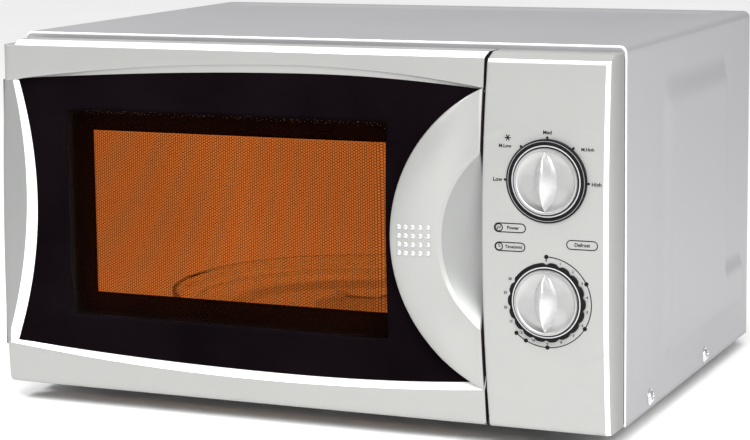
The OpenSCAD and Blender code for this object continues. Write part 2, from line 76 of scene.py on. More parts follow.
def material(name, color, rough, metal, scale, tint, rvar, bump=0.0, bscale=1000.0, spec=0.5,
             emit=None, stretch=None):
    """A procedural material.

    scale sets the size of the soft variation, tint and rvar its strength in colour and roughness,
    bump and bscale the fine grain. emit is a colour and a strength.
    """
    m = bpy.data.materials.new(name)
    m.use_nodes = True
    nt = m.node_tree
    bs = nt.nodes["Principled BSDF"]
    tc = nt.nodes.new("ShaderNodeTexCoord")
    src = tc.outputs["Object"]
    if stretch:
        mp = nt.nodes.new("ShaderNodeMapping")
        mp.inputs["Scale"].default_value = stretch
        nt.links.new(src, mp.inputs["Vector"])
        src = mp.outputs["Vector"]
    nz = nt.nodes.new("ShaderNodeTexNoise")
    nz.inputs["Scale"].default_value = scale
    nz.inputs["Detail"].default_value = 4
    nt.links.new(src, nz.inputs["Vector"])
    ramp = nt.nodes.new("ShaderNodeValToRGB")
    lo = [max(0, c * (1 - tint)) for c in color] + [1]
    hi = [min(1, c * (1 + tint)) for c in color] + [1]
    ramp.color_ramp.elements[0].position, ramp.color_ramp.elements[1].position = 0.3, 0.7
    ramp.color_ramp.elements[0].color, ramp.color_ramp.elements[1].color = lo, hi
    nt.links.new(nz.outputs["Fac"], ramp.inputs["Fac"])
    nt.links.new(ramp.outputs["Color"], bs.inputs["Base Color"])
    mr = nt.nodes.new("ShaderNodeMapRange")
    mr.inputs["To Min"].default_value = max(0.02, rough - rvar)
    mr.inputs["To Max"].default_value = min(1, rough + rvar)
    nt.links.new(nz.outputs["Fac"], mr.inputs["Value"])
    nt.links.new(mr.outputs["Result"], bs.inputs["Roughness"])
    bs.inputs["Metallic"].default_value = metal
    bs.inputs["Specular IOR Level"].default_value = spec
    if bump:
        n2 = nt.nodes.new("ShaderNodeTexNoise")
        n2.inputs["Scale"].default_value = bscale
        n2.inputs["Detail"].default_value = 3
        nt.links.new(src, n2.inputs["Vector"])
        bp = nt.nodes.new("ShaderNodeBump")
        bp.inputs["Strength"].default_value = bump
        bp.inputs["Distance"].default_value = BUMP_DEPTH
        nt.links.new(n2.outputs["Fac"], bp.inputs["Height"])
        nt.links.new(bp.outputs["Normal"], bs.inputs["Normal"])
    if emit:
        bs.inputs["Emission Color"].default_value = (*emit[:3], 1)
        bs.inputs["Emission Strength"].default_value = emit[3]
    return m


M = {
    "cover": material("cover_paint", (0.36, 0.36, 0.373), 0.40, 0.35, 9, 0.02, 0.03, 0.10, 2500),
    "silver": material("silver_plastic", (0.365, 0.365, 0.355), 0.40, 0.38, 14, 0.015, 0.03,
                       0.06, 3200),
    # silver_plastic_painted_shade is the silver plastic darkened: painted shade for the stile and
    # the finger recess
    "stile": material("silver_plastic_painted_shade", (0.26, 0.265, 0.26), 0.40, 0.38, 14, 0.015, 0.03, 0.06,
                      3200),
    # silver_painted_highlight is the silver plastic made near white: a painted highlight that
    # trim() lays on edges and slopes picked by the way they face
    "painted_highlight": material("silver_painted_highlight", (0.86, 0.86, 0.86), 0.22, 0.25, 14, 0.01, 0.02),
    "knob": material("knob_silver", (0.58, 0.58, 0.585), 0.26, 0.6, 30, 0.015, 0.04, 0.04, 4000),
    "knob_face": material("knob_face", (0.44, 0.44, 0.435), 0.34, 0.8, 60, 0.03, 0.05, 0.05, 3000),
    "black": material("window_black", (0.004, 0.0025, 0.0035), 0.10, 0.0, 20, 0.2, 0.03,
                      spec=0.0),
    "ink": material("print_ink", (0.006, 0.006, 0.006), 0.45, 0.0, 300, 0.3, 0.08, spec=0.1),
    "ink_light": material("dial_light", (0.55, 0.55, 0.56), 0.3, 0.6, 300, 0.04, 0.05),
    "ink_grey": material("dial_grey", (0.20, 0.20, 0.21), 0.4, 0.0, 300, 0.1, 0.08, spec=0.2),
    "galv": material("galvanised", (0.58, 0.59, 0.60), 0.42, 0.9, 35, 0.12, 0.10, 0.06, 400),
    "zinc": material("screw_zinc", (0.78, 0.78, 0.79), 0.22, 0.95, 200, 0.06, 0.08, 0.05, 900),
    "rubber": material("rubber", (0.03, 0.03, 0.03), 0.75, 0.0, 120, 0.2, 0.1, 0.3, 900),
    "blackpl": material("black_plastic", (0.025, 0.025, 0.026), 0.5, 0.0, 150, 0.2, 0.1, 0.15,
                        1500),
    "plate": material("plate_paint", (0.34, 0.34, 0.35), 0.40, 0.3, 20, 0.04, 0.05, 0.10, 1800),
    # the cavity paint's warm emission is painted glow standing in for the lamp's light on the walls
    "cavity": material("cavity_paint", (0.62, 0.55, 0.44), 0.5, 0.0, 25, 0.04, 0.06, 0.12, 1400,
                       emit=(1.0, 0.5, 0.2, 0.55)),
    "mica": material("mica", (0.55, 0.42, 0.24), 0.55, 0.0, 200, 0.25, 0.1, 0.2, 700),
    "alu": material("aluminium", (0.78, 0.78, 0.79), 0.35, 0.95, 80, 0.05, 0.08, 0.05, 900,
                    stretch=(1, 1, 8)),
    "copper": material("copper_wire", (0.60, 0.24, 0.10), 0.35, 0.9, 300, 0.2, 0.1, 0.3, 900,
                       stretch=(1, 6, 1)),
    "lam": material("laminations", (0.10, 0.11, 0.13), 0.5, 0.6, 400, 0.3, 0.1, 0.4, 900,
                    stretch=(1, 9, 1)),
    "lamp": material("lamp_glass", (0.95, 0.85, 0.65), 0.2, 0.0, 60, 0.05, 0.05,
                     emit=(1, 0.7, 0.35, 3.0)),
    "white": material("white_plastic", (0.80, 0.79, 0.74), 0.42, 0.0, 60, 0.04, 0.06, 0.08, 1400),
    "duct": material("duct_plastic", (0.45, 0.43, 0.38), 0.5, 0.0, 60, 0.06, 0.06, 0.1, 1200),
    "board": material("board_green", (0.03, 0.16, 0.06), 0.4, 0.0, 300, 0.25, 0.1, 0.1, 900),
    "screen": material("screen_paint", (0.016, 0.010, 0.012), 0.6, 0.0, 120, 0.1, 0.05, spec=0.1),
    # screen_mesh_painted_glow is the dark screen paint tinted reddish brown: painted glow from the
    # lit inside on the webs
    "mesh": material("screen_mesh_painted_glow", (0.05, 0.022, 0.016), 0.5, 0.0, 40, 0.25, 0.05, spec=0.2),
    "choke": material("choke_plastic", (0.15, 0.15, 0.155), 0.45, 0.0, 60, 0.06, 0.06, 0.12, 1400),
    "red": material("switch_red", (0.5, 0.03, 0.02), 0.4, 0.0, 200, 0.08, 0.06),
    "spring": material("spring_steel", (0.6, 0.6, 0.61), 0.25, 0.95, 300, 0.05, 0.06),
}


def turned(m):
    """Lathe marks: the finish reflects in a fan round the middle of the disc."""
    bs = m.node_tree.nodes["Principled BSDF"]
    bs.inputs["Anisotropic"].default_value = 0.85
    tg = m.node_tree.nodes.new("ShaderNodeTangent")
    tg.direction_type = "RADIAL"
    tg.axis = "Y"
    m.node_tree.links.new(tg.outputs["Tangent"], bs.inputs["Tangent"])


turned(M["knob_face"])


def glass(name, color, rough, ior=1.5):
    """Clear glass with a little unevenness in its polish."""
    m = bpy.data.materials.new(name)
    m.use_nodes = True
    nt = m.node_tree
    bs = nt.nodes["Principled BSDF"]
    bs.inputs["Base Color"].default_value = (*color, 1)
    bs.inputs["Transmission Weight"].default_value = 1.0
    bs.inputs["IOR"].default_value = ior
    nz = nt.nodes.new("ShaderNodeTexNoise")
    nz.inputs["Scale"].default_value = 60
    mr = nt.nodes.new("ShaderNodeMapRange")
    mr.inputs["To Min"].default_value = rough * 0.7
    mr.inputs["To Max"].default_value = rough * 1.3
    nt.links.new(nz.outputs["Fac"], mr.inputs["Value"])
    nt.links.new(mr.outputs["Result"], bs.inputs["Roughness"])
    return m


# the window film barely bends the light, so that the screen behind it stays sharp; its orange tint
# is painted glow from the lamp-lit inside
M["pane"] = glass("window_glass", (0.50, 0.27, 0.13), 0.01, 1.05)
M["plate_glass"] = glass("plate_glass", (0.90, 0.96, 0.95), 0.03)

# ------------------------------------------------------------------ mesh helpers


def obj_from(name, verts, faces, mat, body, slot, sharp=35, smooth=True, thick=0.0, weld=0.005):
    """One piece from points in millimetres.

    Edges over sharp degrees stay hard. thick adds a wall behind an open surface, and points
    closer than weld are joined.
    """
    me = bpy.data.meshes.new(name)
    me.from_pydata([(x * MM, y * MM, z * MM) for x, y, z in verts], [], faces)
    bm = bmesh.new()
    bm.from_mesh(me)
    bmesh.ops.remove_doubles(bm, verts=bm.verts, dist=weld * MM)
    bmesh.ops.dissolve_degenerate(bm, edges=bm.edges, dist=1e-7)
    bmesh.ops.recalc_face_normals(bm, faces=bm.faces)
    lim = math.radians(sharp)
    for f in bm.faces:
        f.smooth = smooth
    for e in bm.edges:
        e.smooth = not (len(e.link_faces) == 2 and e.calc_face_angle(0) > lim)
    bm.to_mesh(me)
    bm.free()
    ob = bpy.data.objects.new(name, me)
    scene.collection.objects.link(ob)
    me.materials.append(mat)
    if thick:
        so = ob.modifiers.new("wall", "SOLIDIFY")
        so.thickness = thick * MM
        so.offset = -1
    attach(ob, body)
    return ob


def trim(ob, test, look="painted_highlight"):
    """Give the faces that pass the test another finish; by default the near-white painted
    highlight.
    """
    ob.data.materials.append(M[look])
    for p in ob.data.polygons:
        c = p.center / MM
        if test(c.x, c.y, c.z, p.normal):
            p.material_index = len(ob.data.materials) - 1


def grid_faces(nr, nc, base=0, closed=False):
    """Faces between nr rows of nc points; closed joins each row's last point to its first."""
    out = []
    for i in range(nr - 1):
        for j in range(nc if closed else nc - 1):
            a = base + i * nc + j
            b = base + i * nc + (j + 1) % nc
            out.append((a, b, b + nc, a + nc))
    return out


def sheet(name, rows, mat, body, slot, **kw):
    """An open surface through rows with the same number of points."""
    verts = [p for row in rows for p in row]
    return obj_from(name, verts, grid_faces(len(rows), len(rows[0])), mat, body, slot, **kw)


def loft(name, loops, mat, body, slot):
    """A closed solid from a row of closed loops with the same number of points."""
    n = len(loops[0])
    verts = [p for lp in loops for p in lp]
    faces = grid_faces(len(loops), n, closed=True)
    faces.append(tuple(range(n)))
    faces.append(tuple((len(loops) - 1) * n + i for i in reversed(range(n))))
    return obj_from(name, verts, faces, mat, body, slot)


def spread(a, b, n):
    """n even values from a to b."""
    return [a + (b - a) * (i / (n - 1)) for i in range(n)]


def sstep(t):
    """0 to 1 with soft ends."""
    t = min(1.0, max(0.0, t))
    return t * t * (3 - 2 * t)


# ------------------------------------------------------------------ shared shape of the front

# all lengths from here on are millimetres: x to the right, y to the back, z up
HW = 220.0  # half the cabinet's width
MIDZ, HALFZ = 134.0, 120.5  # middle and half the height of the front
Z0, Z1 = 13.5, 254.5  # foot and top of door and panel
DX0, DX1 = -219.5, 137.0  # door
PX0, PX1 = 138.6, 219.5  # panel
FACE = -164.5  # front surface along its upper and lower edges
BACK = -140.0  # back of the door's mouldings
OX, OZ = 181.0, 135.0  # middle of the circles that shape the grip
R1 = 107.0  # outer radius of the grip
CROWN_R, SCOOP_R = 105.0, 73.5  # where rim meets crown, and crown meets scoop


def mid(node):
    """Middle of a CAD node in millimetres."""
    lo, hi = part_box(node)
    return [(a + b) / 2 / MM for a, b in zip(lo, hi)]


KX, _, ZP = mid("power_knob")
ZT = mid("timer_knob")[2]


def bow(x):
    """How far the front bulges at half height."""
    return 4.8 + 3.9 * math.exp(-(((x - 105) / 90) ** 2))


def F(x, z):
    """Front surface of door and panel."""
    return FACE - bow(x) * (1 - ((z - MIDZ) / HALFZ) ** 2)


def lean(z):
    """The gap between door and panel bows a little to the left at half height."""
    return -1.6 * (1 - ((z - MIDZ) / HALFZ) ** 2)


def par(x, x0, top, kl, kr):
    """A curve with its top at x0, bent differently on its left and right."""
    return top - (kl if x < x0 else kr) * (x - x0) ** 2


def band_lo(x):
    """Lower edge of the top band's front."""
    return par(x, 5, 242.6, 3.3e-4, 6.0e-4)


def black_top(x):
    """Upper edge of the black window."""
    return min(par(x, 20, 235.6, 1.40e-4, 3.3e-4), band_lo(x) - 0.1)


def black_bot(x):
    """Lower edge of the black window."""
    return -par(x, -5, -37.0, 1.6e-4, 3.5e-4)


def band_hi(x):
    """Upper edge of the bottom band's front."""
    return min(-par(x, -20, -31.2, 2.9e-4, 2.8e-4), black_bot(x) - 0.1)


def skew(z):
    """Slant of the stile's two inner edges."""
    return 0.9 + 0.036 * (z - MIDZ) - 1.9e-4 * (z - MIDZ) ** 2


def black_left(z):
    """Left edge of the black window."""
    return -193.5 - 1.85e-3 * (z - 136) ** 2 + skew(z)


def stile_in(z):
    """Inner edge of the stile's front."""
    return -200.6 - 1.6e-3 * (z - 143) ** 2 + skew(z)


SIDE_Y = -160.5


def pull(x, y, z):
    """The front of the door's left edge leans: it is widest at the foot.

    The part behind SIDE_Y stays straight, so that the open door clears the cabinet.
    """
    near = min(1.0, max(0.0, (-200 - x) / 16)) * min(1.0, max(0.0, (SIDE_Y - y) / 4))
    return x + 0.025 * (z - MIDZ) * near


def round_in(d, r):
    """How far a rounded edge has dropped at distance d from the side."""
    return 0.0 if d >= r else r - math.sqrt(max(0.0, r * r - (r - d) ** 2))


# ------------------------------------------------------------------ door bands

EDGE_R = 3.2  # rounding of the door's left edge
STEP_Y = -154  # back of the bands' stiffening step
BAND_XS = [DX0 + v for v in (0, 0.25, 0.7, 1.4, 2.3, EDGE_R, 5.5, 8.6, 9.0, 9.4)] \
    + spread(DX0 + 13, DX1, 100)


def top_loop(x):
    """Outline of the top band at x. Its upper edge is a slope right of the corner, given the
    near-white painted highlight below.
    """
    e = round_in(x - DX0, EDGE_R)
    gx = x + lean(250) * (x - 100) / (DX1 - 100) if x > 100 else x
    ridge = x > DX0 + 8.8
    zt = Z1 if ridge else 251.3
    f = lambda z: F(x, z) + e
    lo, bt = band_lo(x), black_top(x)
    drop = 3.0
    front = [(zt, BACK), (zt, f(zt) + 8.5)]
    if ridge:
        front += [(zt - 0.25, f(zt) + 7.7), (251.45, f(251.2) + 0.35), (251.2, f(251.2) + 0.05)]
    else:
        front += [(zt - 0.1, f(zt) + 2.4), (zt - 0.4, f(zt) + 0.8), (zt - 0.8, f(250.0) + 0.15)]
    top = 250.9 if ridge else 250.1
    front += [(z, f(z)) for z in [top] + spread(top - 0.5, lo + 0.9, 8)]
    front += [(lo + 0.35, f(lo) + 0.15), (lo + 0.05, f(lo) + 0.6)]
    front += [(lo + (bt - lo) * t, f(lo) + 0.6 + (drop - 0.6) * (t ** 0.8))
              for t in (0.25, 0.5, 0.75, 1.0)]
    front += [(bt - 2, f(bt) + drop + 0.3)]
    rear = [(bt - 2, f(bt) + 5.2), (lo + 3, f(lo) + 5.0), (247.5, f(247) + 5),
            (zt - 2.5, STEP_Y), (zt - 2.5, BACK)]
    return [(pull(gx, y, z), y, z) for z, y in front + rear]


def bottom_loop(x):
    """Outline of the bottom band at x."""
    e = round_in(x - DX0, EDGE_R)
    gx = x + lean(20) * (x - 100) / (DX1 - 100) if x > 100 else x
    f = lambda z: F(x, z) + e
    hi, bb = band_hi(x), black_bot(x)
    front = [(Z0, BACK), (Z0, f(Z0) + 3.4), (Z0 + 0.3, f(Z0) + 1.9),
             (Z0 + 1.1, f(Z0 + 1) + 0.7), (Z0 + 2.2, f(Z0 + 2) + 0.15)]
    front += [(z, f(z)) for z in spread(Z0 + 3.2, hi - 0.9, 6)]
    front += [(hi - 0.3, f(hi) + 0.15), (hi, f(hi) + 0.5)]
    front += [(hi + (bb - hi) * t, f(hi) + 0.5 + 2.5 * t) for t in (0.33, 0.66, 1.0)]
    front += [(bb + 2, f(bb) + 3.3)]
    rear = [(bb + 2, f(bb) + 5.2), (hi - 3, f(hi) + 5), (20, f(20) + 5),
            (Z0 + 2.5, STEP_Y), (Z0 + 2.5, BACK)]
    return [(pull(gx, y, z), y, z) for z, y in front + rear]


SLOPE_Z = 251.3  # above it the top band slopes back
CUT_X = 100  # the bands' end caps right of it face the gap
band = loft("door_top_band", [top_loop(x) for x in BAND_XS], M["silver"], "door", "silver_plastic")
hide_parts("door_frame")
# the top band's up-facing slope gets the near-white painted highlight
trim(band, lambda x, y, z, n: z > SLOPE_Z and n.z > 0.15 and y < F(x, z) + 8.2)
# its end caps facing the gap get the black screen paint: painted shade in the gap
trim(band, lambda x, y, z, n: n.x > 0.9 and x > CUT_X, "screen")
band = loft("door_bottom_band", [bottom_loop(x) for x in BAND_XS], M["silver"], "door",
            "silver_plastic")
# the bottom band's up-facing bevel under the window gets the near-white painted highlight
trim(band, lambda x, y, z, n: band_hi(x) - 0.4 < z < black_bot(x) + 0.1 and n.y < -0.1
     and n.z > 0.2)
# its end caps facing the gap get the black screen paint: painted shade in the gap
trim(band, lambda x, y, z, n: n.x > 0.9 and x > CUT_X, "screen")

SX = -220.9  # outer side of the stile at half height


def stile_loop(z):
    """Outline of the left stile at z."""
    f = lambda x: F(x, z) + 0.35
    sx = pull(SX, -170, z)
    si, bl = max(stile_in(z), sx + 5.4), black_left(z)
    front = [(DX0, BACK), (DX0, SIDE_Y), (sx, SIDE_Y - 4), (sx, f(sx) + 4.2),
             (sx + 0.3, f(sx) + 2.6), (sx + 1.2, f(sx) + 1.1), (sx + 2.6, f(sx) + 0.3)]
    front += [(x, f(x)) for x in spread(sx + 4.0, si - 0.6, 4)]
    front += [(si, f(si) + 0.15), (si + 0.5, f(si) + 0.5)]
    front += [(si + 0.5 + (bl - si - 0.5) * t, f(si) + 0.5 + 2.3 * t)
              for t in (0.33, 0.66, 1.0)]
    front += [(bl + 2, f(bl) + 3.0)]
    rear = [(bl + 2, f(bl) + 5.0), (si, f(si) + 5), (DX0 + 5, f(sx) + 6),
            (DX0 + 2.5, SIDE_Y + 0.5), (DX0 + 2.5, BACK)]
    return [(x, y, z) for x, y in front + rear]


# the stile takes the darkened silver_plastic_painted_shade: painted shade, as it is the same silver
# plastic as the bands
stile = loft("door_stile", [stile_loop(z) for z in spread(40.5, 227.2, 46)], M["stile"],
             "door", "silver_plastic")
# its right-facing bevel beside the window gets the near-white painted highlight
trim(stile, lambda x, y, z, n: n.x > 0.2 and n.y < -0.2 and x > stile_in(z) - 1)

# ------------------------------------------------------------------ crescent grip and finger recess


def grip_height(r):
    """Height over the front surface along the radius: rim, crown, then the finger scoop."""
    if r > CROWN_R:
        t = (R1 - r) / (R1 - CROWN_R)
        return -2.6 + 5.2 * math.sqrt(max(0.0, 1 - (1 - t) ** 2))
    if r > SCOOP_R:
        t = (CROWN_R - r) / (CROWN_R - SCOOP_R)
        return 2.6 + 3.4 * math.sin(math.pi * t ** 0.8) - 2.0 * t
    t = min(1.0, (SCOOP_R - r) / 26.0)
    return 0.6 - 10 * (1 - (1 - t) ** 2.2)


def grip_at(x, z):
    """The crown sinks to the panel's level towards the gap."""
    h = grip_height(math.hypot(x - OX, z - OZ))
    return h * sstep((DX1 + 0.5 - x) / 30) if h > 0 else h


def grip_rows():
    """Arcs of the crescent from the rim inwards, each cut off at the gap."""
    rs = [R1, 106.9, 106.6, 106.1, 105.6, 105.2] + spread(104.3, 75, 26) \
        + [74.3, 73.8, SCOOP_R, 73.2, 72.7] + spread(72, 43.2, 30) + [42.6]
    cut = OX - DX1 + 0.02
    steps = 72
    rows = []
    for r in rs:
        lim = math.acos(-cut / r) if r > cut else math.pi
        row = []
        for i in range(steps + 1):
            a = lim + (2 * math.pi - 2 * lim) * i / steps
            x, z = OX + r * math.cos(a), OZ + r * math.sin(a)
            gx = x + lean(z) * max(0.0, (x - 100) / (DX1 - 100))
            row.append((gx, F(x, z) - grip_at(x, z), z))
        rows.append(row)
    return rows


grip = sheet("door_grip", grip_rows(), M["silver"], "door", "silver_plastic", thick=1.6, sharp=22)
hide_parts("door_handle")
# the rim of its wall takes the black screen paint as painted shade, and the recess takes the
# darkened stile plastic as painted shade, a shade darker than the crown
grip.data.materials.append(M["screen"])
grip.modifiers["wall"].material_offset_rim = 1
trim(grip, lambda x, y, z, n: math.hypot(x - OX, z - OZ) < 71.5, "stile")

# four rows of five raised dots where the fingers rest, in the brighter knob finish: a painted
# highlight on silver plastic dots
DOT_N = 14
DOT_RINGS = ((1.75, -0.3), (1.65, 0.25), (1.25, 0.62), (0.65, 0.82))
DOT_TOP = 0.88
verts, faces = [], []
for iz in range(4):
    for ix in range(5):
        x, z = 82.6 + ix * 4.8, 142.4 - iz * 5.6
        y = F(x, z) - grip_at(x, z)
        base = len(verts)
        for rr, hh in DOT_RINGS:
            for j in range(DOT_N):
                a = j * 2 * math.pi / DOT_N
                verts.append((x + rr * math.cos(a), y - hh, z + rr * math.sin(a)))
        verts.append((x, y - DOT_TOP, z))
        faces += grid_faces(len(DOT_RINGS), DOT_N, base, closed=True)
        last = base + (len(DOT_RINGS) - 1) * DOT_N
        faces += [(last + j, last + (j + 1) % DOT_N, last + DOT_N) for j in range(DOT_N)]
obj_from("grip_dots", verts, faces, M["knob"], "door", "silver_plastic", sharp=70)

# side wall of the door along the gap; in front of STRIP_Y, where the two mouldings meet, it takes
# the black screen paint as painted shade in the gap
STRIP_Y = -160.5
wall_rows = []
for z in spread(Z0 + 1, 250, 60):
    h = min(grip_at(DX1 - 0.3, z), 0.0) if math.hypot(DX1 - OX, z - OZ) < R1 else 0.0
    gx = DX1 + lean(z) - 0.05
    wall_rows.append([(gx, F(DX1, z) - h + 0.5, z), (gx, STRIP_Y, z), (gx, BACK, z),
                      (gx - 2.4, BACK, z)])
wall = sheet("door_gap_wall", wall_rows, M["silver"], "door", "silver_plastic", thick=1.2)
trim(wall, lambda x, y, z, n: y < STRIP_Y, "screen")

# ------------------------------------------------------------------ window


WX0, WX1, WZ0, WZ1 = -168.0, 70.0, 66.0, 208.0  # clear part of the window
MASK_Z0, MASK_Z1 = 34, 239
MASK_R = 103.8  # the mask ends just under the grip's rim
WINDOW_DEEP = 2.9  # how far the window lies behind the front surface


def handle_x(z):
    """Right edge of the mask."""
    d = abs(z - OZ)
    return OX - math.sqrt(max(0.0, MASK_R ** 2 - d * d)) if d < MASK_R else OX


def pane_cols(z):
    """x values left of the clear part, across it and right of it."""
    a, b = black_left(z) - 3.0, min(handle_x(z), DX1 - 1)
    return (spread(a, WX0, 8), spread(WX0, WX1, 30), spread(WX1, max(b, WX1 + 0.5), 12))


def pane_patch(zs, part=None):
    """Rows of window points; part picks one of the three column groups."""
    rows = []
    for z in zs:
        cols = pane_cols(z)
        xs = cols[part] if part is not None else cols[0] + cols[1][1:] + cols[2][1:]
        rows.append([(x, F(x, z) + WINDOW_DEEP, z) for x in xs])
    return rows


across = spread(WZ0, WZ1, 24)
verts, faces = [], []
for patch in (pane_patch(spread(MASK_Z0, WZ0, 12)), pane_patch(across, 0), pane_patch(across, 2),
              pane_patch(spread(WZ1, MASK_Z1, 12))):
    faces += grid_faces(len(patch), len(patch[0]), len(verts))
    verts += [p for row in patch for p in row]
mask = obj_from("window_mask", verts, faces, M["black"], "door", "window_black", thick=0.8)
sheet("window_pane", pane_patch(across, 1), M["pane"], "door", "window_glass", thick=1.2)
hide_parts("door_window")

# perforated screen: upright rows of six-sided holes, every second row half a pitch lower
PITCH = 1.9
MX0, MX1, MZ0, MZ1 = -156.4, 62.6, 79.2, 195.0  # perforated field
SY = -151.0  # depth of the screen
COL = PITCH * math.sqrt(3) / 2
HOLE_R = 0.462 * PITCH
verts, faces = [], []


def cell(cx, cz):
    """A ring of sheet round one hole."""
    b = len(verts)
    for k in range(6):
        u, v = math.cos(k * math.pi / 3), math.sin(k * math.pi / 3)
        for r in (PITCH / math.sqrt(3), HOLE_R):
            verts.append((cx + r * u, SY, cz + r * v))
    for k in range(6):
        j = (k + 1) % 6
        faces.append((b + 2 * k, b + 2 * j, b + 2 * j + 1, b + 2 * k + 1))


nrow = int((MZ1 - MZ0) / PITCH)
ncol = int((MX1 - MX0) / COL)
for i in range(ncol):
    for j in range(nrow - i % 2):
        cell(MX0 + COL * (i + 0.5), MZ0 + PITCH * (j + 0.5 + 0.5 * (i % 2)))
# the webs take that reddish-brown tint, painted glow on dark screen paint
holes = obj_from("door_screen_mesh", verts, faces, M["mesh"], "door", "screen_paint", smooth=False)
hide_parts("door_screen")

xa, xb = MX0, MX0 + ncol * COL
za, zb = MZ0, MZ0 + nrow * PITCH

# the pan round the screen: four borders, four side walls and a flange on the latch side
QX0, QX1, QZ0, QZ1 = -200, 110, 24, 246
PAN_Y, PAN_BACK = SY + 0.05, -137.5
FLANGE_X, FLANGE_Y = 98, -150
pan = []
for x0, x1, z0, z1 in ((QX0, xa + 0.5, QZ0, QZ1), (xb - 0.5, FLANGE_X, QZ0, QZ1),
                       (xa, xb, QZ0, za + 0.5), (xa, xb, zb - 0.5, QZ1)):
    pan.append([(x0, PAN_Y, z0), (x1, PAN_Y, z0), (x1, PAN_Y, z1), (x0, PAN_Y, z1)])
corners = [(QX0, QZ0), (QX0, QZ1), (QX1, QZ1), (QX1, QZ0)]
for a, b in zip(corners, corners[1:] + corners[:1]):
    pan.append([(a[0], SY, a[1]), (b[0], SY, b[1]), (b[0], PAN_BACK, b[1]),
                (a[0], PAN_BACK, a[1])])
pan.append([(FLANGE_X, FLANGE_Y, QZ0), (QX1, FLANGE_Y, QZ0), (QX1, FLANGE_Y, QZ1),
            (FLANGE_X, FLANGE_Y, QZ1)])
obj_from("door_screen_pan", [p for quad in pan for p in quad],
         [tuple(range(4 * i, 4 * i + 4)) for i in range(len(pan))], M["screen"], "door",
         "screen_paint", smooth=False, thick=0.6, weld=0.0001)

# ------------------------------------------------------------------ control panel


def arc_relief(x, z):
    """The ornament's two circles run on across the panel as faint raised lines."""
    r = math.hypot(x - OX, z - OZ)
    near = sstep((158 - x) / 14) + sstep((x - 194) / 10)
    return sum(0.28 * near * math.exp(-(((r - rc) / 1.1) ** 2)) for rc in (R1 - 1, 78.5))


def panel_rows():
    """Points of the panel's front with rounded left and lower edges.

    The right and upper edges are chamfered.
    """
    xs = [PX0 + v for v in (0, 0.2, 0.5, 1.0, 1.6)] + spread(PX0 + 2.6, PX1 - 6.4, 60) \
        + [PX1 - v for v in (5.4, 4.2, 3.2, 2.75, 2.5, 2.3, 1.6, 0.9, 0.3, 0.1, 0)]
    zs = [Z0 + v for v in (0, 0.3, 0.9, 1.8)] + spread(Z0 + 3, 247.6, 170) \
        + [248.3, 248.6, 248.9, 249.6, 250.4, 250.7, 251.0, 252.2, 253.6, 254.3, Z1]
    rows = []
    for z in zs:
        row = []
        for x in xs:
            y = F(x, z) + round_in(x - PX0, 1.6) + round_in(z - Z0, 2.6)
            edge = max(0.0, 2.4 - (PX1 - x)) * 0.95
            crown = 0.8 * min(2.1, max(0.0, z - 248.6)) + 2.1 * max(0.0, z - 250.7)
            y += max(edge, crown)
            y -= arc_relief(x, z)
            k = 1 - (x - PX0) / (PX1 - PX0)
            row.append((x + lean(z) * k, y, z))
        rows.append(row)
    return rows


rows = panel_rows()
nc = len(rows[0])
verts = [p for r in rows for p in r]
faces = grid_faces(len(rows), nc)
PANEL_BACK = -135.2
ring = [(0, j) for j in range(nc)] + [(i, nc - 1) for i in range(1, len(rows))] \
    + [(len(rows) - 1, j) for j in range(nc - 2, -1, -1)] \
    + [(i, 0) for i in range(len(rows) - 2, 0, -1)]
base = len(verts)
for i, j in ring:
    x, _, z = rows[i][j]
    verts.append((x, PANEL_BACK, z))
for k in range(len(ring)):
    a, b = ring[k], ring[(k + 1) % len(ring)]
    faces.append((a[0] * nc + a[1], b[0] * nc + b[1], base + (k + 1) % len(ring), base + k))
panel = obj_from("panel_moulding", verts, faces, M["silver"], "cabinet", "silver_plastic",
                 thick=2.0, sharp=30)
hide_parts("control_panel")
# the right-facing chamfer and the up-facing strip under the crown get the near-white painted
# highlight
trim(panel, lambda x, y, z, n: (n.x > 0.4 and n.y < -0.4) or (249.8 < z < 250.7 and n.z > 0.35))

# a black sheet in the seam between the panel and the cover: painted shade for the dark line there
SEAM_X, SEAM_Z, SEAM_R = 218.7, 253.6, 3.4
ARC_X, ARC_Z = 215.3, 250.2
seam = [(SEAM_X, z) for z in (14.0, 60.0, 120.0, 180.0, ARC_Z)]
for k in range(1, 9):
    a = k * math.pi / 16
    seam.append((ARC_X + SEAM_R * math.cos(a), ARC_Z + SEAM_R * math.sin(a)))
seam += [(x, SEAM_Z) for x in (190.0, 165.0, 139.5)]
sheet("panel_seam", [[(x, y, z) for y in (-136.0, -133.0, -130.6)] for x, z in seam], M["ink"],
      "cabinet", "print_ink", thick=0.4)

# ------------------------------------------------------------------ dials, print, knobs


DIAL_Y, INLAY_Y = -171.4, -171.85


def ring_piece(name, cz, r0, r1, y, mat, slot, h, n=96, wave=None):
    """A flat ring round a knob, h high in front of y; wave(angle) cuts into its outer edge."""
    verts, faces = [], []
    for j in range(n):
        a = j * 2 * math.pi / n
        ra = r1 - (wave(a) if wave else 0)
        for r, yy in ((r0, y + 3), (r0, y), (r0 + 0.12, y - h), (ra - 0.12, y - h), (ra, y),
                      (ra, y + 3)):
            verts.append((KX + r * math.sin(a), yy, cz + r * math.cos(a)))
    for j in range(n):
        for k in range(5):
            a, b = j * 6 + k, ((j + 1) % n) * 6 + k
            faces.append((a, a + 1, b + 1, b))
    return obj_from(name, verts, faces, mat, "cabinet", slot)


dial = ring_piece("power_dial_base", ZP, 21.2, 26.5, DIAL_Y, M["ink"], "dial_black", 0.5, n=120)
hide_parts("power_dial")
ring_piece("power_dial_line", ZP, 24.95, 25.5, INLAY_Y, M["ink_grey"], "dial_black", 0.14)
ring_piece("power_dial_light", ZP, 21.9, 22.8, INLAY_Y, M["ink_light"], "knob_silver", 0.2)


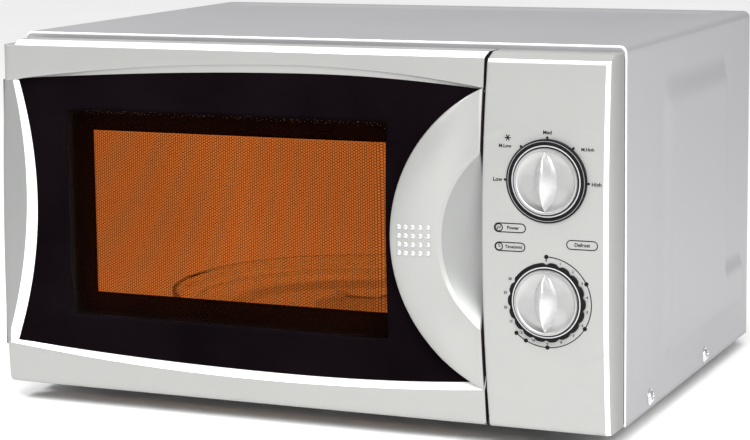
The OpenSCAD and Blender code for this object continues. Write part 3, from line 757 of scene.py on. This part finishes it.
def notch(a):
    """Teeth of the timer's scale: one small cut at every number."""
    d = math.degrees(a) % 20.0
    d = min(d, 20 - d)
    on = math.degrees(a) < 308 or math.degrees(a) > 355
    return 1.3 * math.exp(-((d / 3.6) ** 2)) if on else 0.2


dial = ring_piece("timer_dial_base", ZT, 21.2, 25.6, DIAL_Y, M["ink"], "dial_black", 0.5, n=360,
                  wave=notch)
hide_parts("timer_dial")
ring_piece("timer_dial_light", ZT, 21.9, 22.8, INLAY_Y, M["ink_light"], "knob_silver", 0.2)

LINE_LIFT, DISC_LIFT, WORD_LIFT = 0.12, 0.15, 0.14  # the print stands this far off the panel
SUNK = 0.1  # and its edges reach this far into it


def stroke(pts, w, closed=False):
    """A thin printed line through pts, w wide, that follows the panel."""
    n = len(pts)
    verts, faces = [], []
    for i in range(n):
        if closed:
            a, b = pts[i - 1], pts[(i + 1) % n]
        else:
            a, b = pts[max(0, i - 1)], pts[min(n - 1, i + 1)]
        dx, dz = b[0] - a[0], b[1] - a[1]
        ln = math.hypot(dx, dz) or 1
        nx, nz = -dz / ln * w / 2, dx / ln * w / 2
        x, z = pts[i]
        for s, dy in ((1, SUNK), (1, -LINE_LIFT), (-1, -LINE_LIFT), (-1, SUNK)):
            verts.append((x + nx * s, F(x + nx * s, z + nz * s) + dy, z + nz * s))
    for i in range(n if closed else n - 1):
        j = (i + 1) % n
        for k in range(3):
            faces.append((i * 4 + k, i * 4 + k + 1, j * 4 + k + 1, j * 4 + k))
    return verts, faces


class Batch:
    """Many small printed shapes gathered into one piece."""

    def __init__(self):
        self.v, self.f = [], []

    def line(self, pts, w, closed=False):
        b = len(self.v)
        verts, faces = stroke(pts, w, closed)
        self.v += verts
        self.f += [tuple(i + b for i in f) for f in faces]

    def disc(self, x, z, r):
        b = len(self.v)
        n = 20
        for dy in (SUNK, -DISC_LIFT):
            for k in range(n):
                a = k * 2 * math.pi / n
                px, pz = x + r * math.cos(a), z + r * math.sin(a)
                self.v.append((px, F(px, pz) + dy, pz))
        self.f += grid_faces(2, n, b, closed=True)
        self.f.append(tuple(b + n + k for k in range(n)))


def at_angle(cx, cz, r, a):
    """A point on a circle; angles in degrees run clockwise from the top."""
    return cx + r * math.sin(math.radians(a)), cz + r * math.cos(math.radians(a))


def arc_pts(cx, cz, r, a0, a1, n):
    return [at_angle(cx, cz, r, a) for a in spread(a0, a1, n)]


def pill(x0, z0, x1, z1):
    """A frame with half-round ends."""
    r = (z1 - z0) / 2
    zc = (z0 + z1) / 2
    return arc_pts(x1 - r, zc, r, 0, 180, 10) + arc_pts(x0 + r, zc, r, 180, 360, 10)


BOLD, FINE = 0.6, 0.5
R_ARC, R_MARK = 29.2, 27.3
ICON_X, ICON_Z, CLOCK_Z = 148.9, 145.0, 132.9
lines = Batch()
# defrost arc with its stops
lines.line(arc_pts(KX, ZT, R_ARC, 0, 224, 90), BOLD)
for a in (0, 63, 122, 180, 209, 224):
    lines.disc(*at_angle(KX, ZT, R_ARC, a), 1.4)
# frames of the three labels, and the icons in two of them
for corners in ((145.8, 142.2, 166.4, 147.8), (146.2, 130.2, 166.0, 135.6),
                (193.3, 133.4, 213.3, 139.0)):
    lines.line(pill(*corners), BOLD, closed=True)
for z in (ICON_Z, CLOCK_Z):
    lines.line(arc_pts(ICON_X, z, 2.3, 0, 359, 24), BOLD, closed=True)
lines.line([(ICON_X, 134.6), (ICON_X, CLOCK_Z), (150.1, CLOCK_Z)], FINE)
lines.line([(147.7, 143.9), (148.4, 145.8), (149.4, 144.3), (150.1, 146.2)], FINE)
# five power settings and the defrost star
for a in (0, 39, 91, -39, -90):
    lines.disc(*at_angle(KX, ZP, R_MARK, a), 0.8)
for k in range(6):
    a = math.radians(60 * k)
    x, z = KX - 25.9, ZP + 26.4
    lines.line([(x, z), (x + 2.1 * math.cos(a), z + 2.1 * math.sin(a))], BOLD)
obj_from("panel_lines", lines.v, lines.f, M["ink"], "cabinet", "print_ink", smooth=False)


def text_piece(words, name):
    """Small generic dial words and numbers, turned into flat printed meshes."""
    verts, faces = [], []
    for txt, x, z, size in words:
        cu = bpy.data.curves.new("t", "FONT")
        cu.body = txt
        cu.size = size
        cu.align_x, cu.align_y = "CENTER", "CENTER"
        cu.offset = 0.02 * size
        cu.resolution_u = 3
        tmp = bpy.data.objects.new("t", cu)
        scene.collection.objects.link(tmp)
        dg = bpy.context.evaluated_depsgraph_get()
        me = bpy.data.meshes.new_from_object(tmp.evaluated_get(dg))
        b = len(verts)
        for v in me.vertices:
            px, pz = x + v.co.x, z + v.co.y
            verts.append((px, F(px, pz) - WORD_LIFT, pz))
        faces += [tuple(b + i for i in p.vertices) for p in me.polygons]
        bpy.data.objects.remove(tmp)
        bpy.data.curves.remove(cu)
        bpy.data.meshes.remove(me)
    return obj_from(name, verts, faces, M["ink"], "cabinet", "print_ink", smooth=False,
                    weld=0.0001)


words = [("Low", KX - 32.2, ZP, 3.5), ("High", KX + 32.4, ZP - 1, 3.5),
         ("Med", KX, ZP + 30.4, 3.3), ("M.Low", KX - 27.6, ZP + 21.2, 3.0),
         ("M.High", KX + 26.4, ZP + 20.6, 3.0), ("Power", 158.2, ICON_Z, 3.0),
         ("Time(min)", 158.6, CLOCK_Z, 2.7), ("Defrost", 203.3, 136.2, 3.2)]
minutes = list(range(11)) + [12, 15, 20, 25, 30]
for k, minute in enumerate(minutes):
    x, z = at_angle(KX, ZT, 26.9 if k < 12 else 27.6, 20 * k)
    words.append((str(minute), x, z, 2.3))
text_piece(words, "panel_words")

KNOB_Y = -172.75  # face of the knob's disc
KNOB_PROFILE = [(20.6, -171.8), (21.0, -172.0), (21.0, -173.2), (20.75, -173.7), (20.3, -173.9),
                (19.7, -173.8), (19.3, -173.3), (18.9, -173.05), (15, -172.9), (9, -172.85),
                (0.5, -172.85)]
GRIP_HALF, GRIP_TOP = 18.9, 9.4  # half the length and the height of the knob's ridge
LENS_R, LENS_OFF = 27.5, 19.9  # two arcs of this radius, this far off, bound the ridge


def knob(name, cz):
    """A knob: a turned disc with a rounded rim, and a lens-shaped ridge to hold."""
    n = 96
    verts = [(KX + r * math.sin(2 * math.pi * j / n), y, cz + r * math.cos(2 * math.pi * j / n))
             for r, y in KNOB_PROFILE for j in range(n)]
    faces = grid_faces(len(KNOB_PROFILE), n, closed=True)
    skirt = obj_from(name + "_skirt", verts, faces, M["knob_face"], name, "knob_silver")
    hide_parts(name)
    rows = []
    for i in range(49):
        t = -1 + 2 * i / 48
        z = GRIP_HALF * math.sin(t * math.pi / 2)
        w = max(0.02, math.sqrt(LENS_R ** 2 - z * z) - LENS_OFF)
        crest = GRIP_TOP * (1 - abs(z / GRIP_HALF) ** 2.6) ** 0.75 + 0.6
        row = []
        for j in range(25):
            s = -1 + 2 * j / 24
            h = crest * (1 - (s * s + 0.0009) ** 0.72) if abs(s) < 0.999 else 0
            row.append((KX + w * s * (1 - 0.10 * h / GRIP_TOP), KNOB_Y - max(0.0, h), cz + z))
        rows.append(row)
    sheet(name + "_grip", rows, M["knob"], name, "knob_silver", sharp=70)


knob("power_knob", ZP)
knob("timer_knob", ZT)

# ------------------------------------------------------------------ steel cover


def field(a, b, lo_a, hi_a, lo_b, hi_b, wa, wb, wc, wd):
    """0 outside, 1 inside a pressed field with round corners.

    wa to wd are the widths of its soft slopes.
    """
    g = [(a - lo_a) / wa, (hi_a - a) / wb, (b - lo_b) / wc, (hi_b - b) / wd]
    q = math.sqrt(sum(max(0.0, 1 - k) ** 2 for k in g))
    return sstep(1 - q)


def side_relief(y, z):
    """The field pressed outwards on each side: a tall part and a low part behind it."""
    a = field(y, z, -54, 110, 36, 232, 20, 7, 11, 22)
    b = field(y, z, -54, 161, 36, 80, 20, 7, 11, 14)
    return 3.2 * max(a, b)


def top_relief(x, y):
    """The shallow field pressed into the top."""
    return -1.5 * field(x, y, -202, 202, -118, 168, 7, 7, 7, 7)


COVER_LOW, COVER_TOP, CORNER = 12.0, 258.0, 5
COVER_FRONT, COVER_BACK = -131.5, 180
LIP_Y = -131.1
CORNER_Z = COVER_TOP - CORNER


def corner(cx, start):
    """The rounded edge between a side and the top, clockwise from the start angle."""
    out = []
    for k in range(1, 10):
        a = start - k * math.pi / 20
        c, s = math.cos(a), math.sin(a)
        out.append((cx + CORNER * c, CORNER_Z + CORNER * s, c, s, "C"))
    return out


def cover_sections():
    """Points and outward directions round the cover from the lower left to the lower right."""
    prof = [(-HW, z, -1, 0, "L") for z in spread(COVER_LOW, CORNER_Z, 84)]
    prof += corner(-HW + CORNER, math.pi)
    prof += [(x, COVER_TOP, 0, 1, "T") for x in spread(-HW + CORNER, HW - CORNER, 120)]
    prof += corner(HW - CORNER, math.pi / 2)
    prof += [(HW, z, 1, 0, "R") for z in spread(CORNER_Z, COVER_LOW, 84)]
    return prof


prof = cover_sections()
# the front edge is rolled inwards: steps back from the front, and how far each lies inside
LIP = [(1.2, 2.6), (0.5, 2.2), (0.12, 1.5), (0, 0.9), (0.12, 0.4), (0.5, 0.12), (1.2, 0.0),
       (2.4, 0.0)]
ys = [COVER_FRONT + v for v, _ in LIP] + spread(-127.5, 179.6, 110) + [180.4, 180.9, 181]
rows = []
for k, y in enumerate(ys):
    row = []
    for x, z, nx, nz, kind in prof:
        h = 0.0
        if kind in "LR":
            h = side_relief(y, z)
        elif kind == "T":
            h = top_relief(x, y)
        if k < len(LIP):
            h = -LIP[k][1]
        elif y > COVER_BACK:
            h = -0.5 * (y - COVER_BACK)
        row.append((x + nx * h, y, z + nz * h))
    rows.append(row)
cover = sheet("cover_shell", rows, M["cover"], "cabinet", "cover_paint", thick=0.9, sharp=50)
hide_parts("outer_cover")
# the rolled front lip gets the near-white painted highlight
trim(cover, lambda x, y, z, n: y < LIP_Y)

SCREW_PROFILE = [(5.4, -0.1), (5.5, 0.35), (5.0, 0.62), (4.3, 0.68), (4.15, 1.0), (3.9, 1.7),
                 (3.2, 2.25), (2.2, 2.6), (1.2, 2.75), (0.0, 2.8)]
CROSS_HALF, CROSS_FROM, CROSS_DEEP = 0.55, 2.3, 0.9


def screw(axis, x, y, z, verts, faces):
    """Domed screw with a washer and a cross recess; axis is the way the head faces."""
    n = 28
    base = len(verts)
    for r, h in SCREW_PROFILE:
        for j in range(n):
            a = 2 * math.pi * j / n
            u, v = r * math.cos(a), r * math.sin(a)
            cut = h > CROSS_FROM and min(abs(u), abs(v)) < CROSS_HALF
            up = h - CROSS_DEEP if cut else h
            if axis[0]:
                verts.append((x + axis[0] * up, y + u, z + v))
            else:
                verts.append((x + u, y + axis[1] * up, z + v))
    faces += grid_faces(len(SCREW_PROFILE), n, base, closed=True)


verts, faces = [], []
for y in (-78, 58):
    for s in (-1, 1):
        screw((s, 0, 0), s * (HW + 0.1), y, 20, verts, faces)
for x, z in ((-205, 245), (205, 245), (-205, 22), (120, 22)):
    screw((0, 1, 0), x, 180.9, z, verts, faces)
screws = obj_from("cover_screw_heads", verts, faces, M["zinc"], "cabinet", "screw_steel")
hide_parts("cover_screws")

# ------------------------------------------------------------------ materials of the CAD nodes

CAD_LOOK = {
    "rear_panel": "cover", "base_plate": "galv", "feet": "rubber", "cord_bushing": "blackpl",
    "front_plate": "plate", "cavity": "cavity", "waveguide": "galv", "waveguide_cover": "mica",
    "magnetron_yoke": "galv", "magnetron_anode": "copper", "magnetron_fins": "alu",
    "magnetron_filter_box": "galv", "transformer_core": "lam", "transformer_primary": "copper",
    "transformer_secondary": "copper", "capacitor": "alu", "capacitor_clamp": "galv",
    "hv_diode": "blackpl", "fan_shroud": "blackpl", "fan_motor": "lam", "fan_blade": "blackpl",
    "air_duct": "duct", "lamp_bulb": "lamp", "lamp_socket": "white", "turntable_motor": "galv",
    "turntable_coupler": "white", "glass_plate": "plate_glass", "roller_ring": "white",
    "roller_1": "white", "roller_2": "white", "roller_3": "white", "filter_board": "board",
    "thermal_cutout": "blackpl", "power_shaft": "white", "timer_shaft": "white",
    "timer_housing": "duct", "timer_motor": "galv", "latch_bracket": "white",
    "switch_primary": "blackpl", "switch_secondary": "blackpl", "switch_monitor": "blackpl",
    "plunger_primary": "red", "plunger_secondary": "red", "plunger_monitor": "red",
    "hinge_brackets": "galv", "door_choke_cover": "choke", "door_latch": "white",
    "latch_spring": "spring",
}
for node, look in CAD_LOOK.items():
    for part_slot in bpy.data.objects[node].material_slots:
        part_slot.material = M[look]

# ------------------------------------------------------------------ floor and light

FLOOR_HALF = 30  # metres, as all lengths from here on
FLOOR_GREY = 0.84
bm = bmesh.new()
bmesh.ops.create_grid(bm, x_segments=2, y_segments=2, size=FLOOR_HALF)
floor_mesh = bpy.data.meshes.new("floor")
bm.to_mesh(floor_mesh)
bm.free()
floor = bpy.data.objects.new("floor", floor_mesh)
scene.collection.objects.link(floor)
floor_mesh.materials.append(material("floor_paint", (FLOOR_GREY,) * 3, 0.9, 0, 3, 0.01, 0.02,
                                     spec=0.1))

scene.view_settings.view_transform = "Standard"
world = scene.world or bpy.data.worlds.new("world")
scene.world = world
world.use_nodes = True
bg = world.node_tree.nodes["Background"]
bg.inputs["Color"].default_value = (1, 1, 1, 1)
bg.inputs["Strength"].default_value = 0.34


def aim(ob, loc, target):
    """Stand ob at loc and turn it towards target."""
    ob.location = loc
    ob.rotation_mode = "QUATERNION"
    ob.rotation_quaternion = (Vector(target) - Vector(loc)).to_track_quat("-Z", "Y")


def area(name, loc, target, size, power):
    """A square soft box, size in metres and power in watts."""
    li = bpy.data.lights.new(name, "AREA")
    li.energy = power
    li.size = size
    ob = bpy.data.objects.new(name, li)
    scene.collection.objects.link(ob)
    aim(ob, loc, target)


sun_data = bpy.data.lights.new("sun", "SUN")
SUN_POWER, SUN_ANGLE = 2.7, 30
sun_data.energy = SUN_POWER
sun_data.angle = math.radians(SUN_ANGLE)
sun = bpy.data.objects.new("sun", sun_data)
scene.collection.objects.link(sun)
aim(sun, (0.9, -1.9, 2.7), (0, 0, 0))  # from the front, a little from the right
area("overhead", (-0.55, -0.5, 1.5), (-0.1, -0.1, 0), 1.0, 20)
area("right", (0.95, -0.9, 0.75), (0.15, -0.1, 0.15), 0.5, 12)
